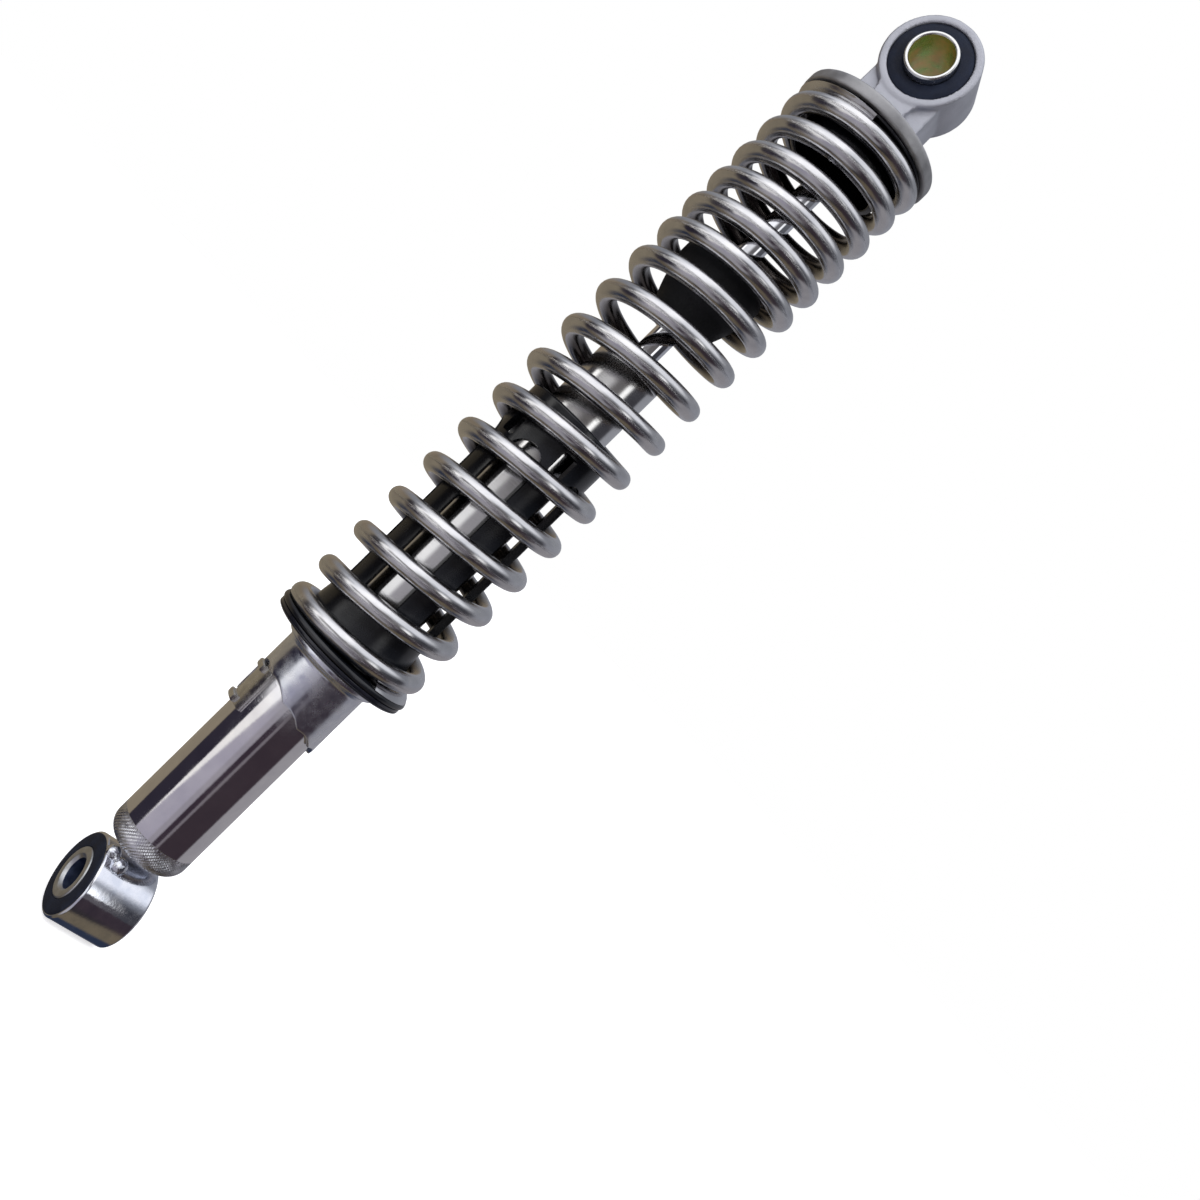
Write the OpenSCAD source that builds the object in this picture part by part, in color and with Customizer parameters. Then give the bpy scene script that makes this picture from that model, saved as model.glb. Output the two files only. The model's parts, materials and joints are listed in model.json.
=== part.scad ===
// Twin-tube rear shock absorber with a dual-rate coil spring, shown at full extension.
// The origin is the centre of the lower bore, +Z runs to the upper bore, and the lower bore lies along Y.
// Angles are in degrees about Z, counted from +X.

/* [Overall] */
// Distance between the centres of the two bores
eye_distance = 350; // [340:1:370]
// Direction of the upper bore about Z
upper_eye_angle = 314; // [270:1:360]

/* [Spring] */
// Outside diameter of the coil spring
spring_od = 49.4; // [48:0.1:52]
// Diameter of the spring wire
wire_d = 6.5; // [5.5:0.1:6.8]
// Number of turns from tip to tip
turns = 17.883; // [16:0.001:19]
// Direction of the lower wire tip
lower_tip_angle = 9; // [0:1:90]
// Pitch of the close-wound upper turns
close_pitch = 10.6; // [9:0.1:12]
// Pitch at the two closed ends
end_pitch = 3.9; // [2:0.1:5]
// Turn, counted from the lower tip, where the pitch starts to tighten
rate_change_turn = 9.6; // [8:0.1:12]
// Thickness that grinding leaves at each wire tip
tip_thickness = 1.7; // [1:0.1:3]

/* [Upper eye] */
// Outside diameter of the upper eye
upper_ring_d = 30.4; // [28:0.2:34]
// Length of the upper eye along its bore
upper_ring_l = 18.6; // [16:0.2:26]
// Diameter of the hole for the upper rubber bush
upper_rubber_d = 25.2; // [20:0.1:26]
// Outside diameter of the upper steel sleeve
upper_sleeve_d = 16; // [15:0.5:18]
// Bore of the upper steel sleeve
upper_bore_d = 13.4; // [10:0.1:14]
// Length of the upper steel sleeve
upper_sleeve_l = 24.2; // [22:0.1:30]
// Diameter of the spring flange
flange_d = 49.8; // [48:0.2:54]
// Thickness of the spring flange
flange_t = 4.2; // [3:0.2:6]

/* [Lower eye] */
// Outside diameter of the lower eye
lower_ring_d = 28.4; // [26:0.2:30]
// Length of the lower eye along its bore
lower_ring_l = 20; // [16:1:24]
// Diameter of the hole for the lower rubber bush
lower_rubber_d = 24; // [20:0.5:26]
// Outside diameter of the lower steel sleeve
lower_sleeve_d = 17; // [15:0.5:19]
// Bore of the lower steel sleeve
lower_bore_d = 10.2; // [8:0.1:14]
// Length of the lower steel sleeve
lower_sleeve_l = 22; // [20:1:28]

/* [Damper] */
// Outside diameter of the damper tube
tube_d = 22.6; // [22:0.1:23]
// Height of the top of the damper tube
tube_top = 225; // [222:1:227]
// Diameter of the piston rod
rod_d = 8; // [7:0.5:9]
// Outside diameter of the inner cylinder
cylinder_d = 17; // [16:0.5:18]
// Bore of the inner cylinder
cylinder_bore = 15; // [14:0.5:15.5]
// Outside diameter of the chrome cover
cover_d = 27.2; // [26.8:0.1:27.4]
// Height of the top of the chrome cover
cover_top = 93; // [90:1:95]

/* [Guide and seat] */
// Outside diameter of the slotted spring guide
guide_d = 33.6; // [32:0.2:34]
// Height of the top of the slotted spring guide
guide_top = 201; // [195:1:203]
// Number of slots round the guide
slot_count = 5; // [3:1:6]
// Direction of the first slot
slot_angle = 319.5; // [250:0.5:360]
// Outside diameter of the spring seat
seat_d = 50; // [49:0.5:54]

/* [Adjuster] */
// Outside diameter of the adjuster collar
collar_d = 30; // [29.5:0.1:32]
// Diameter of the flange on the adjuster collar
collar_flange_d = 34; // [33:0.5:40]
// Angle between two adjuster steps
step_angle = 34; // [30:1:35]
// Height of one adjuster step
step_rise = 3; // [2:0.1:3]
// Number of steps above the softest setting
step_count = 4; // [2:1:4]
// Height of the top of the stop lugs
lug_top = 85; // [82:1:86]

/* [Hidden] */

$fn = 96;
slack = 0.1;      // radial clearance of a running fit
touch = 0.05;     // gap between faces that meet on different bodies
past = 1;         // how far a cutter runs past a face
rubber_bulge = 0.7;
lower_eye_angle = 90;

// Heights of the spring's two seats
flange_z = 321.5;
guide_flange_t = 0.9;
spring_hi = flange_z - guide_flange_t - touch;
seat_top = 104.6;
spring_lo = seat_top + touch;

// Coil spring: the wire's centre line
wire_r = wire_d / 2;
coil_r = spring_od / 2 - wire_r;
end_turns = 1.7;
rate_turns = 2.6;
tip_lift = tip_thickness - wire_r;
coil_lo = spring_lo + tip_lift;
coil_hi = spring_hi - tip_lift;
close_turns = turns - rate_change_turn - rate_turns / 2 - end_turns / 2;
open_turns = rate_change_turn + rate_turns / 2 - end_turns / 2;
open_pitch = (coil_hi - coil_lo - end_pitch * end_turns - close_pitch * close_turns) / open_turns;
rings_per_turn = 20;
wire_sides = 8;

// Damper stack, from the bottom up
cover_wall = 1.2;
tube_bottom = 19;
tube_wall = 1.3;
base_bottom = 16.5;
base_top = 25.7;
cylinder_bottom = 26;
rod_guide_bottom = 211;
rod_guide_top = 219;
seal_top = tube_top - 2;
rod_top = 337;

// Piston stack on the rod, from the bottom up
nut_bottom = 178;
nut_h = 5;
shims_h = 1.2;
piston_h = 12;
rebound_h = 8;
shims_bottom = nut_bottom + nut_h;
piston_bottom = shims_bottom + shims_h;
rebound_bottom = piston_bottom + piston_h;
stud_d = 6;
groove_d = cylinder_bore - 2.4;
groove_bottom = piston_bottom + 3;
groove_h = 6;

// Bump stop
bump_bottom = 243;
bump_h = 22;

// Guide and seat
guide_bore = 28;
guide_split = 102.5;
seat_bottom = 100.4;
slot_w = 12.3;
slot_bottom = 120;
slot_top = 187;
window_w = 5.4;
window_bottom = 184;
window_top = 192;

// Adjuster: the lug's right edge is where the first tooth of the cam rests
lug_from = 256;
lug_to = 292;
lug_h = 14.7;
collar_top = seat_bottom - touch;
collar_flange_h = 3.8;
tooth_depth = 1.1;
lug_gap = 0.1;
notch_angle = 40;
stop_tooth_angle = 180 - notch_angle - step_count * step_angle;
cam_bottom = lug_top - step_rise * step_count - 0.2;

// Area under a smooth step from 0 to 1 that runs over one unit
function step_area(x) = x < 0 ? 0 : x > 1 ? x - 0.5 : pow(x, 3) - pow(x, 4) / 2;

// Height of the wire's centre line, t turns up from the lower tip
function coil_z(t) = coil_lo + end_pitch * t
    + (open_pitch - end_pitch) * end_turns * step_area(t / end_turns)
    - (open_pitch - close_pitch) * rate_turns * step_area((t - rate_change_turn) / rate_turns)
    - (close_pitch - end_pitch) * end_turns * step_area((t - turns + end_turns) / end_turns);

// Half angle that is left of the wire's section where the ground face cuts it
half_flat = 90 - 180 / wire_sides;
function cut_angle(depth) = min(half_flat, asin(max(-0.99, min(1, depth / wire_r))));

// Section angle of one side of the wire, squeezed round to the far side of the ground face
function low_angle(a, cut) = 90 + (a - 90) * (90 + cut) / (90 + half_flat);
function high_angle(a, cut) = -90 + (a + 90) * (90 + cut) / (90 + half_flat);
function side_angle(i, z) = let (a = i * 360 / wire_sides - half_flat)
    z < (coil_lo + coil_hi) / 2
        ? low_angle(a, cut_angle(z - spring_lo))
        : high_angle(a > half_flat + 1 ? a - 360 : a, cut_angle(spring_hi - z));

// Points of the wire's section, t turns up from the lower tip
function wire_ring(t) = let (turn = lower_tip_angle + 360 * t, z = coil_z(t)) [
    for (i = [0 : wire_sides - 1])
        let (a = side_angle(i, z), r = coil_r + wire_r * cos(a))
        [r * cos(turn), r * sin(turn), z + wire_r * sin(a)]
];

// A solid through rings of points that all have the same number of sides
module swept(rings) {
    sides = len(rings[0]);
    count = len(rings);
    points = [for (ring = rings) each ring];
    walls = [
        for (k = [0 : count - 2], i = [0 : sides - 1])
            let (j = (i + 1) % sides, next = k + 1)
            each [
                [k * sides + i, next * sides + i, k * sides + j],
                [k * sides + j, next * sides + i, next * sides + j]
            ]
    ];
    start_cap = [for (i = [0 : sides - 1]) i];
    end_cap = [for (i = [sides - 1 : -1 : 0]) (count - 1) * sides + i];
    polyhedron(points = points, faces = concat(walls, [start_cap, end_cap]), convexity = 20);
}

// A round tube along Z
module tube(od, id, z0, z1) {
    translate([0, 0, z0])
        difference() {
            cylinder(h = z1 - z0, d = od);
            translate([0, 0, -past]) cylinder(h = z1 - z0 + 2 * past, d = id);
        }
}

// A round bar along the bore of an eye at height z
module eye_bar(d, l, z, angle) {
    translate([0, 0, z])
        rotate([0, 0, angle])
            rotate([0, 90, 0])
                cylinder(h = l, d = d, center = true);
}

// A tube along the bore of an eye
module eye_tube(od, id, l, z, angle) {
    difference() {
        eye_bar(od, l, z, angle);
        eye_bar(id, l + 2 * past, z, angle);
    }
}

// A rubber bush that bulges out of its eye round the sleeve
module bush(od, id, l, bulge, z, angle) {
    rim = 1.5;
    mouth = l / 2 + bulge;
    translate([0, 0, z])
        rotate([0, 0, angle])
            rotate([0, 90, 0])
                rotate_extrude()
                    polygon([
                        [id / 2, -mouth], [od / 2 - rim - bulge, -mouth], [od / 2, -l / 2],
                        [od / 2, l / 2], [od / 2 - rim - bulge, mouth], [id / 2, mouth]
                    ]);
}

module upper_eye_casting() {
    rib_w = 12.4;
    rib_l = upper_ring_l - 0.6;
    web_w = 24.6;
    web_l = 14;
    edge = 1;
    web_h = eye_distance - flange_z;
    color("gainsboro")
        difference() {
            union() {
                translate([0, 0, flange_z])
                    rotate_extrude()
                        polygon([
                            [0, 0], [flange_d / 2 - edge / 2, 0], [flange_d / 2, edge / 2],
                            [flange_d / 2, flange_t - edge], [flange_d / 2 - edge, flange_t], [0, flange_t]
                        ]);
                eye_bar(upper_ring_d, upper_ring_l, eye_distance, upper_eye_angle);
                translate([0, 0, flange_z + web_h / 2])
                    rotate([0, 0, upper_eye_angle]) {
                        cube([rib_l, rib_w, web_h], center = true);
                        cube([web_l, web_w, web_h], center = true);
                    }
            }
            eye_bar(upper_rubber_d, upper_ring_l + 2 * past, eye_distance, upper_eye_angle);
            translate([0, 0, flange_z - past]) cylinder(h = rod_top - flange_z + past, d = rod_d);
        }
}

module upper_bush_rubber() {
    color("darkslategray")
        bush(
            upper_rubber_d, upper_sleeve_d, upper_ring_l - 2 * rubber_bulge, rubber_bulge,
            eye_distance, upper_eye_angle
        );
}

module upper_bush_sleeve() {
    color("goldenrod")
        eye_tube(upper_sleeve_d, upper_bore_d, upper_sleeve_l, eye_distance, upper_eye_angle);
}

module upper_spring_guide() {
    skirt_d = 34;
    skirt_bottom = 309;
    wall = 2;
    ring_d = spring_od - 2.4;
    hole_d = 18;
    color("black") {
        tube(skirt_d, skirt_d - 2 * wall, skirt_bottom, flange_z - guide_flange_t);
        tube(ring_d, hole_d, flange_z - guide_flange_t, flange_z);
    }
}

module lock_nut() {
    nut_t = 6.5;
    nut_d = 15;
    color("silver")
        translate([0, 0, flange_z - nut_t])
            difference() {
                cylinder(h = nut_t, d = nut_d, $fn = 6);
                translate([0, 0, -past]) cylinder(h = nut_t + 2 * past, d = rod_d);
            }
}

module piston_rod() {
    color("silver") {
        translate([0, 0, rebound_bottom]) cylinder(h = rod_top - rebound_bottom, d = rod_d);
        translate([0, 0, nut_bottom]) cylinder(h = rebound_bottom - nut_bottom, d = stud_d);
    }
}

module rebound_stop() {
    stop_r = 6.5;
    edge = 1;
    color("dimgray")
        translate([0, 0, rebound_bottom])
            rotate_extrude()
                polygon([
                    [rod_d / 2, 0], [stop_r, 0], [stop_r, rebound_h - edge],
                    [stop_r - edge, rebound_h], [rod_d / 2, rebound_h]
                ]);
}

module piston() {
    port_circle_d = 10;
    port_d = 1.8;
    color("darkgray")
        difference() {
            tube(cylinder_bore - 0.3, stud_d, piston_bottom, piston_bottom + piston_h);
            tube(cylinder_bore + past, groove_d, groove_bottom, groove_bottom + groove_h);
            for (i = [0 : 5])
                rotate([0, 0, 60 * i])
                    translate([port_circle_d / 2, 0, piston_bottom - past])
                        cylinder(h = piston_h + 2 * past, d = port_d, $fn = 24);
        }
}

module piston_ring() {
    color("saddlebrown")
        tube(cylinder_bore - touch, groove_d, groove_bottom, groove_bottom + groove_h);
}

module valve_shims() {
    shim_count = 4;
    shim_t = shims_h / shim_count;
    smallest_d = 8.5;
    growth = 1.4;
    color("lightsteelblue")
        for (i = [0 : shim_count - 1])
            tube(smallest_d + i * growth, stud_d, shims_bottom + i * shim_t, shims_bottom + (i + 1) * shim_t);
}

module piston_nut() {
    nut_d = 11.5;
    color("silver")
        translate([0, 0, nut_bottom])
            difference() {
                cylinder(h = nut_h, d = nut_d, $fn = 6);
                translate([0, 0, -past]) cylinder(h = nut_h + 2 * past, d = stud_d);
            }
}

module coil_spring() {
    ring_count = ceil(turns * rings_per_turn);
    color("silver")
        swept([for (k = [0 : ring_count]) wire_ring(turns * k / ring_count)]);
}

module bump_stop() {
    color("black")
        translate([0, 0, bump_bottom])
            rotate_extrude()
                polygon([
                    [rod_d / 2 + slack, 0], [8.6, 0], [10.2, 1.6], [11.6, 4.8], [12.8, 8],
                    [14.6, 14.5], [15, 17], [15, bump_h - 1], [14, bump_h], [rod_d / 2 + slack, bump_h]
                ]);
}

// One guide slot with a round top, cut from the inside out
module guide_slot() {
    reach = guide_d;
    arch_z = slot_top - slot_w / 2;
    translate([0, -slot_w / 2, slot_bottom]) cube([reach, slot_w, arch_z - slot_bottom]);
    translate([0, 0, arch_z]) rotate([0, 90, 0]) cylinder(h = reach, d = slot_w);
}

module spring_guide() {
    flare_d = 35.8;
    guide_h = guide_top - guide_split;
    slot_pitch = 360 / slot_count;
    window_reach = guide_d;
    color("black")
        difference() {
            translate([0, 0, guide_split])
                rotate_extrude()
                    polygon([
                        [tube_d / 2 + slack, 0], [seat_d / 2 - 0.8, 0], [seat_d / 2, 0.6],
                        [seat_d / 2, 1.6], [seat_d / 2 - 0.5, seat_top - guide_split],
                        [flare_d / 2, seat_top - guide_split], [flare_d / 2, 8],
                        [guide_d / 2, 16], [guide_d / 2, guide_h - 1],
                        [guide_d / 2 - 1, guide_h], [guide_bore / 2, guide_h],
                        [guide_bore / 2, 12], [tube_d / 2 + slack, 10]
                    ]);
            for (i = [0 : slot_count - 1])
                rotate([0, 0, slot_angle + i * slot_pitch]) {
                    guide_slot();
                    rotate([0, 0, slot_pitch / 2])
                        translate([0, -window_w / 2, window_bottom])
                            cube([window_reach, window_w, window_top - window_bottom]);
                }
        }
}

module spring_seat() {
    dish = 0.5;
    color("dimgray")
        translate([0, 0, seat_bottom])
            rotate_extrude()
                polygon([
                    [tube_d / 2 + slack, 0], [seat_d / 2 - 1.4, 0], [seat_d / 2 - dish, 0.6],
                    [seat_d / 2 - dish, guide_split - seat_bottom], [tube_d / 2 + slack, guide_split - seat_bottom]
                ]);
}

// Cuts the space between two cam teeth; the left tooth's tip is left_z high, the right one's is right_z
module tooth_space(from, to, left_z, right_z) {
    half_w = collar_d / 2 * sin((to - from) / 2);
    low = cam_bottom - past;
    edge = [for (f = [1.03 : -0.106 : -0.03]) [
        (2 * f - 1) * half_w, left_z + (right_z - left_z) * f + tooth_depth * sin(180 * f)
    ]];
    last = len(edge) - 1;
    rotate([0, 0, (from + to) / 2])
        translate([cover_d / 2 - past, 0, 0])
            rotate([90, 0, 90])
                linear_extrude(collar_d / 2)
                    polygon(concat([[edge[last][0], low], [edge[0][0], low]], edge));
}

module adjuster_collar() {
    tip_z = lug_top + lug_gap;
    bore = cover_d + 2 * slack;
    color("lightsteelblue")
        difference() {
            rotate([0, 0, lug_to - notch_angle - stop_tooth_angle / 2]) {
                tube(collar_d, bore, cam_bottom, collar_top);
                tube(collar_flange_d, bore, collar_top - collar_flange_h, collar_top);
            }
            for (side = [0, 180]) {
                tooth_space(lug_to + side - notch_angle, lug_to + side, tip_z, tip_z);
                for (i = [0 : step_count - 1])
                    tooth_space(
                        lug_to + side + i * step_angle, lug_to + side + (i + 1) * step_angle,
                        tip_z - i * step_rise, tip_z - (i + 1) * step_rise
                    );
            }
        }
}

module damper_tube() {
    color("silver")
        tube(tube_d, tube_d - 2 * tube_wall, tube_bottom, seal_top);
}

module gland_cap() {
    color("silver")
        tube(tube_d, rod_d + 2, seal_top, tube_top);
}

module oil_seal() {
    color("black")
        tube(tube_d - 2 * tube_wall, rod_d + 2 * touch, rod_guide_top, seal_top);
}

module rod_guide() {
    body_d = tube_d - 2 * tube_wall;
    spigot_h = 3;
    groove_z = rod_guide_top - 3.5;
    color("gray")
        difference() {
            union() {
                tube(body_d, rod_d + 2 * touch, rod_guide_bottom + spigot_h, rod_guide_top);
                tube(cylinder_bore, rod_d + 2 * touch, rod_guide_bottom, rod_guide_bottom + spigot_h);
            }
            tube(body_d + 2, body_d - 3, groove_z, groove_z + 1.8);
        }
}

module guide_o_ring() {
    ring_d = 1.5;
    color("black")
        translate([0, 0, rod_guide_top - 2.6])
            rotate_extrude()
                translate([tube_d / 2 - tube_wall - ring_d / 2, 0])
                    circle(d = ring_d, $fn = 24);
}

module inner_cylinder() {
    color("lightgray")
        tube(cylinder_d, cylinder_bore, cylinder_bottom, rod_guide_bottom + 3);
}

module base_valve() {
    foot_d = tube_d - 2 * tube_wall;
    foot_bottom = tube_bottom + 1;
    spigot_h = 4;
    port_r = 5;
    port_d = 2;
    valve_h = cylinder_bottom + spigot_h - foot_bottom;
    color("darkgray")
        difference() {
            union() {
                translate([0, 0, foot_bottom]) cylinder(h = cylinder_bottom - foot_bottom, d = foot_d);
                translate([0, 0, cylinder_bottom]) cylinder(h = spigot_h, d = cylinder_bore);
            }
            for (i = [0 : 3])
                rotate([0, 0, 90 * i])
                    translate([port_r, 0, foot_bottom - past])
                        cylinder(h = valve_h + 2 * past, d = port_d, $fn = 24);
        }
}

module chrome_cover() {
    color("lightsteelblue") {
        tube(cover_d, cover_d - 2 * cover_wall, base_top, cover_top - 1);
        tube(cover_d, tube_d, cover_top - 1, cover_top);
    }
}

// A wedge between two angles, as tall as a lug
module lug_wedge(from, to) {
    reach = 2 * cover_d;
    translate([0, 0, lug_top - lug_h])
        linear_extrude(lug_h)
            polygon([[0, 0], [reach * cos(from), reach * sin(from)], [reach * cos(to), reach * sin(to)]]);
}

// Part of a tube between two angles, as a lug or one of its ears
module lug_piece(od, id, bottom, top, from, to) {
    intersection() {
        tube(od, id, bottom, top);
        lug_wedge(from, to);
    }
}

// The front lug is a web with an ear at its top and its bottom; the back one is a narrower plain web
module stop_lugs() {
    web_d = cover_d + 2.4;
    ear_d = cover_d + 5.2;
    ear_h = 2.4;
    ear_to = lug_from + 20;
    back_from = lug_from + 24 + 180;
    lug_bottom = lug_top - lug_h;
    color("silver") {
        lug_piece(web_d, cover_d, lug_bottom, lug_top, lug_from, lug_to);
        lug_piece(web_d, cover_d, lug_bottom, lug_top, back_from, lug_to + 180);
        for (bottom = [lug_bottom, lug_top - ear_h])
            lug_piece(ear_d, cover_d + 1.2, bottom, bottom + ear_h, lug_from, ear_to);
    }
}

module base_cap() {
    shoulder_r = 6.2;
    shoulder_h = 5.5;
    corner_r = cover_d / 2;
    arc = [for (a = [-90 : 15 : 0]) [
        corner_r + shoulder_r * (cos(a) - 1), base_bottom + shoulder_h * (1 + sin(a))
    ]];
    color("lightsteelblue")
        rotate_extrude()
            polygon(concat(
                [[0, base_bottom]], arc,
                [[corner_r, base_top], [tube_d / 2, base_top], [tube_d / 2, tube_bottom], [0, tube_bottom]]
            ));
}

module lower_eye_weld() {
    weld_d = 17;
    weld_bottom = 9;
    color("lightsteelblue")
        difference() {
            translate([0, 0, weld_bottom]) cylinder(h = base_bottom - weld_bottom, d = weld_d);
            eye_bar(lower_ring_d, 2 * lower_ring_l, 0, lower_eye_angle);
        }
}

module lower_eye_ring() {
    color("lightsteelblue")
        eye_tube(lower_ring_d, lower_rubber_d, lower_ring_l, 0, lower_eye_angle);
}

module lower_bush_rubber() {
    color("darkslategray")
        bush(lower_rubber_d, lower_sleeve_d, lower_ring_l, rubber_bulge, 0, lower_eye_angle);
}

module lower_bush_sleeve() {
    color("gray")
        eye_tube(lower_sleeve_d, lower_bore_d, lower_sleeve_l, 0, lower_eye_angle);
}

upper_eye_casting();
upper_bush_rubber();
upper_bush_sleeve();
upper_spring_guide();
lock_nut();
piston_rod();
rebound_stop();
valve_shims();
piston();
piston_ring();
piston_nut();
coil_spring();
bump_stop();
spring_guide();
spring_seat();
adjuster_collar();
damper_tube();
gland_cap();
oil_seal();
rod_guide();
guide_o_ring();
inner_cylinder();
base_valve();
chrome_cover();
stop_lugs();
base_cap();
lower_eye_weld();
lower_eye_ring();
lower_bush_rubber();
lower_bush_sleeve();
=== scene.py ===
"""A motorcycle rear shock absorber in a white studio.

It stands on its lower eye with its axis along Z. Lengths here are in millimetres and become metres when a
mesh is made. Angles are in degrees, and a polar angle is counted about +Z from +X.
"""
import json
import math
import random

import bmesh
import bpy
from mathutils import Matrix, Vector, noise

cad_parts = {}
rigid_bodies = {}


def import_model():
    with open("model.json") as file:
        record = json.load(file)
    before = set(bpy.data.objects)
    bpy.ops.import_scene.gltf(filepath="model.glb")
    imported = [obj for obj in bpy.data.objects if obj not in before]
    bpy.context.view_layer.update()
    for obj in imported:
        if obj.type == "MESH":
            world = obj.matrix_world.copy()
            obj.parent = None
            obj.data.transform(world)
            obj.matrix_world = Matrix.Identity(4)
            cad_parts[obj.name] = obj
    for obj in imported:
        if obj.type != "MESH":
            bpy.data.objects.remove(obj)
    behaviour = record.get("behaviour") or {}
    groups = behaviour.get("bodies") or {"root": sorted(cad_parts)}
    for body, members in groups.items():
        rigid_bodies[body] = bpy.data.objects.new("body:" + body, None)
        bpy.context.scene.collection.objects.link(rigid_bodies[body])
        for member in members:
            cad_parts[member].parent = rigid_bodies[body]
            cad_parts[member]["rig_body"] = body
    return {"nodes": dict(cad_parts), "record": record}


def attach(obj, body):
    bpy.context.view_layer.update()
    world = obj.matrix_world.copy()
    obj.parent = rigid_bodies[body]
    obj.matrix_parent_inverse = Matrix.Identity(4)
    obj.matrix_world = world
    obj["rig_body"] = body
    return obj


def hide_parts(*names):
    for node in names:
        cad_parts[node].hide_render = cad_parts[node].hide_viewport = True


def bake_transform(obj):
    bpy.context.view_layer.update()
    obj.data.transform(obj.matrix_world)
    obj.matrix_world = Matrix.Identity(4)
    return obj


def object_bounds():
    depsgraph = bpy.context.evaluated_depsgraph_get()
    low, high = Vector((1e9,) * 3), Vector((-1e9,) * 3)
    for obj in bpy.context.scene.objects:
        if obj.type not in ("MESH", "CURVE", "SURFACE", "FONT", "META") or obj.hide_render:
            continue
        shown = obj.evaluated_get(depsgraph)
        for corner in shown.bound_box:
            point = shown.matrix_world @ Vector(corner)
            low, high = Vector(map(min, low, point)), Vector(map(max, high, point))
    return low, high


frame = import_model()
cad_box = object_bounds()

MM = 0.001
UP = Vector((0, 0, 1))
ORIGIN = Vector((0, 0, 0))
scene = bpy.context.scene
scene.view_settings.view_transform = "Standard"

mounts = {mount["name"]: mount for mount in frame["record"]["mounts"]}
upper_centre = Vector(mounts["upper_eye"]["pos_m"]) / MM
upper_axis = Vector(mounts["upper_eye"]["axis"]).normalized()
lower_centre = Vector(mounts["lower_eye"]["pos_m"]) / MM
lower_axis = Vector(mounts["lower_eye"]["axis"]).normalized()

# Where the camera stands round the object
FRONT = 333


# --- Measures of the CAD nodes --------------------------------------------------------------------

def extents(node, centre=ORIGIN, axis=UP):
    """Least and greatest place of a CAD node's corners along an axis, and then their distance from it."""
    along, away = [], []
    for vertex in frame["nodes"][node].data.vertices:
        offset = vertex.co / MM - centre
        place = offset.dot(axis)
        along.append(place)
        away.append((offset - place * axis).length)
    return min(along), max(along), min(away), max(away)


# --- Mesh tools -----------------------------------------------------------------------------------

def shade(obj, sharp=35):
    """Smooth shading that keeps the edges over an angle sharp."""
    obj.data.polygons.foreach_set("use_smooth", [True] * len(obj.data.polygons))
    obj.data.set_sharp_from_angle(angle=math.radians(sharp))


def face_outwards(mesh, merge=0):
    """Turns a closed mesh's faces outwards. Points that lie within merge of each other become one first."""
    shell = bmesh.new()
    shell.from_mesh(mesh)
    if merge:
        bmesh.ops.remove_doubles(shell, verts=shell.verts, dist=merge * MM)
    bmesh.ops.recalc_face_normals(shell, faces=shell.faces)
    shell.to_mesh(mesh)
    shell.free()


def solid(name, points, faces, sharp=35):
    """A closed mesh with its faces turned outwards and no doubled points."""
    mesh = bpy.data.meshes.new(name)
    mesh.from_pydata([Vector(point) * MM for point in points], [], faces)
    face_outwards(mesh, 0.002)
    obj = bpy.data.objects.new(name, mesh)
    scene.collection.objects.link(obj)
    shade(obj, sharp)
    return obj


def rounded(outline, radius, steps=4):
    """A closed outline with its corners turned to curves.

    A corner may carry its own radius as a third number. It takes up less than half of each side, and corners
    on the axis stay sharp.
    """
    reach, least = 0.48, 0.01
    result = []
    for i, corner in enumerate(outline):
        here = Vector(corner[:2])
        before, after = Vector(outline[i - 1][:2]), Vector(outline[(i + 1) % len(outline)][:2])
        size = corner[2] if len(corner) > 2 else radius
        size = min(size, (before - here).length * reach, (after - here).length * reach)
        if size < least or here.x < least:
            result.append(tuple(here))
            continue
        start = here + (before - here).normalized() * size
        end = here + (after - here).normalized() * size
        for k in range(steps + 1):
            t = k / steps
            result.append(tuple(start * (1 - t) ** 2 + here * 2 * t * (1 - t) + end * t ** 2))
    return result


def grid_faces(columns, rows, ring):
    """Quads between columns of points that are each closed in themselves.

    The columns either make a ring or end in a flat face on each side.
    """
    quads = []
    for column in range(columns if ring else columns - 1):
        here, beside = column * rows, (column + 1) % columns * rows
        for row in range(rows):
            after = (row + 1) % rows
            quads.append((here + row, beside + row, beside + after, here + after))
    if ring:
        return quads
    last = (columns - 1) * rows
    return quads + [tuple(range(rows)), tuple(range(last, last + rows))]


def lathe(name, outline, segments=144, shape=None, sharp=35):
    """A closed outline of (radius, height) turned about Z. shape(radius, height, angle) may move a point."""
    points = []
    for k in range(segments):
        angle = math.tau * k / segments
        for radius, height in outline:
            if shape:
                radius, height = shape(radius, height, angle)
            points.append((radius * math.cos(angle), radius * math.sin(angle), height))
    return solid(name, points, grid_faces(segments, len(outline), True), sharp)


def sector(name, outline, start, end, segments=40):
    """A closed outline of (radius, height) turned about Z from one polar angle to another, with flat ends."""
    points = []
    for k in range(segments + 1):
        angle = math.radians(start + (end - start) * k / segments)
        points += [(radius * math.cos(angle), radius * math.sin(angle), height) for radius, height in outline]
    return solid(name, points, grid_faces(segments + 1, len(outline), False))


def cylinder(name, radius, low, high):
    """A plain cylinder along Z, from one height to another."""
    return lathe(name, [(0, low), (radius, low), (radius, high), (0, high)])


def ball(name, radius):
    """A ball round the origin."""
    rows = 12
    angles = [math.radians(180 * k / rows - 90) for k in range(rows + 1)]
    return lathe(name, [(radius * math.cos(angle), radius * math.sin(angle)) for angle in angles], 24)


def prism(name, outline, depth):
    """A closed outline in XY, as a solid from -depth / 2 to depth / 2 along Z."""
    points = [(x, y, side * depth / 2) for side in (-1, 1) for x, y in outline]
    return solid(name, points, grid_faces(2, len(outline), False))


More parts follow.
